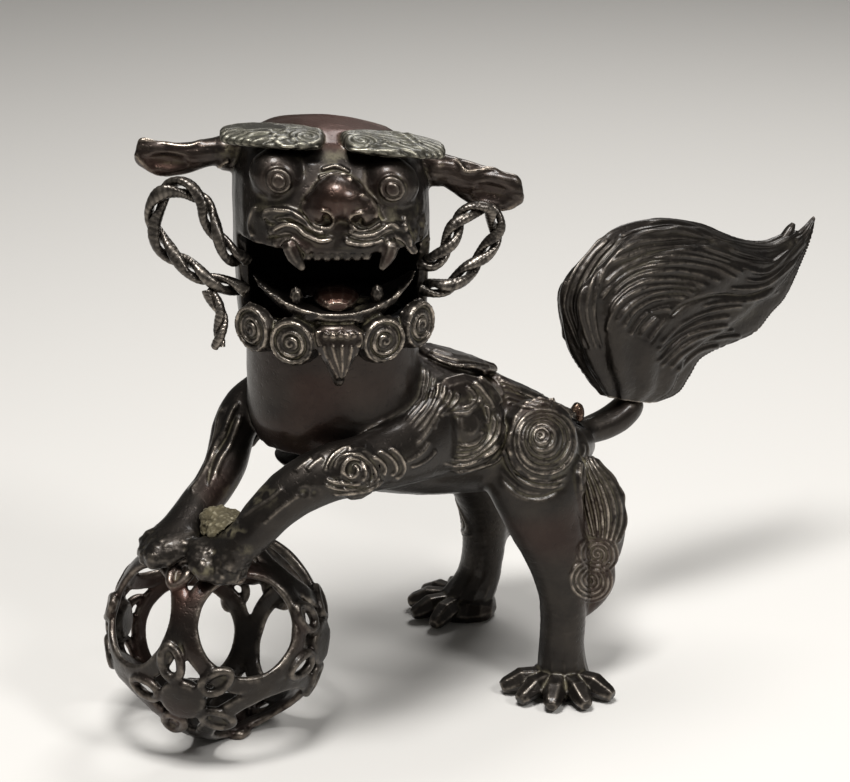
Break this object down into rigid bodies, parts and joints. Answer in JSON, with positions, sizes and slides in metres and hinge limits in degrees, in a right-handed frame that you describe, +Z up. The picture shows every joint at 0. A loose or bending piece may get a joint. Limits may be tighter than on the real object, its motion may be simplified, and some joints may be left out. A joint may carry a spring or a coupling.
{
  "type": "foo dog statue",
  "caption": "Cast bronze foo dog incense burner with a lift-off head, its forepaws resting on a pierced ball and a flame-shaped tail raised behind.",
  "frame": {"origin": "on the floor, under the middle of the bounding box", "axes": "+Z up; the lion's body faces -Y; +X is the lion's left side, which its head is turned towards"},
  "size_m": [0.125, 0.3182, 0.2237],
  "materials": {
    "dark_bronze": "cast bronze with a dark brown-black patina, semi-gloss",
    "rubbed_bronze": "cast bronze rubbed to a glossy red-brown",
    "bronze_wire": "twisted bronze bands, dark, with bright worn ridges",
    "dusty_bronze": "dark bronze with grey-green dust, matt",
    "solder": "granular yellow-grey solder and casting earth, matt"
  },
  "bodies": {
    "lion": {"body_shell": "dark_bronze", "pierced_ball": "dark_bronze", "paw_solder": "solder", "foreleg_left": "dark_bronze", "foreleg_right": "dark_bronze", "hind_leg_left": "dark_bronze", "hind_leg_right": "dark_bronze", "shoulder_scroll_left": "dark_bronze", "shoulder_scroll_right": "dark_bronze", "haunch_scroll_left": "dark_bronze", "haunch_scroll_right": "dark_bronze", "elbow_scroll_left": "dark_bronze", "elbow_scroll_right": "dark_bronze", "hock_tuft_left": "dark_bronze", "hock_tuft_right": "dark_bronze", "hock_curl_left": "dark_bronze", "hock_curl_right": "dark_bronze", "nape_leaf": "dark_bronze", "back_leaf": "dark_bronze", "rump_leaf": "dark_bronze", "tail_stem": "dark_bronze", "tail_plume": "dark_bronze", "tail_rivet": "rubbed_bronze"},
    "head": {"head_shell": "dark_bronze", "lid_rim": "dark_bronze", "lower_jaw": "dark_bronze", "tongue": "rubbed_bronze", "nose": "rubbed_bronze", "upper_teeth": "dark_bronze", "chin_tuft": "rubbed_bronze", "ribbon_end": "bronze_wire", "eye_left": "dark_bronze", "eye_right": "dark_bronze", "brow_plate_left": "dusty_bronze", "brow_plate_right": "dusty_bronze", "ear_left": "rubbed_bronze", "ear_right": "rubbed_bronze", "ribbon_loop_left": "bronze_wire", "ribbon_loop_right": "bronze_wire", "beard_curl_outer_left": "dark_bronze", "beard_curl_outer_right": "dark_bronze", "beard_curl_inner_left": "dark_bronze", "beard_curl_inner_right": "dark_bronze", "fang_left": "dark_bronze", "fang_right": "dark_bronze", "lower_tooth_left": "dark_bronze", "lower_tooth_right": "dark_bronze"}
  },
  "joints": [
    {"name": "head_lift", "type": "slide", "parent": "lion", "child": "head", "axis": [0, 0, 1], "range_m": [0, 0.08]}
  ]
}
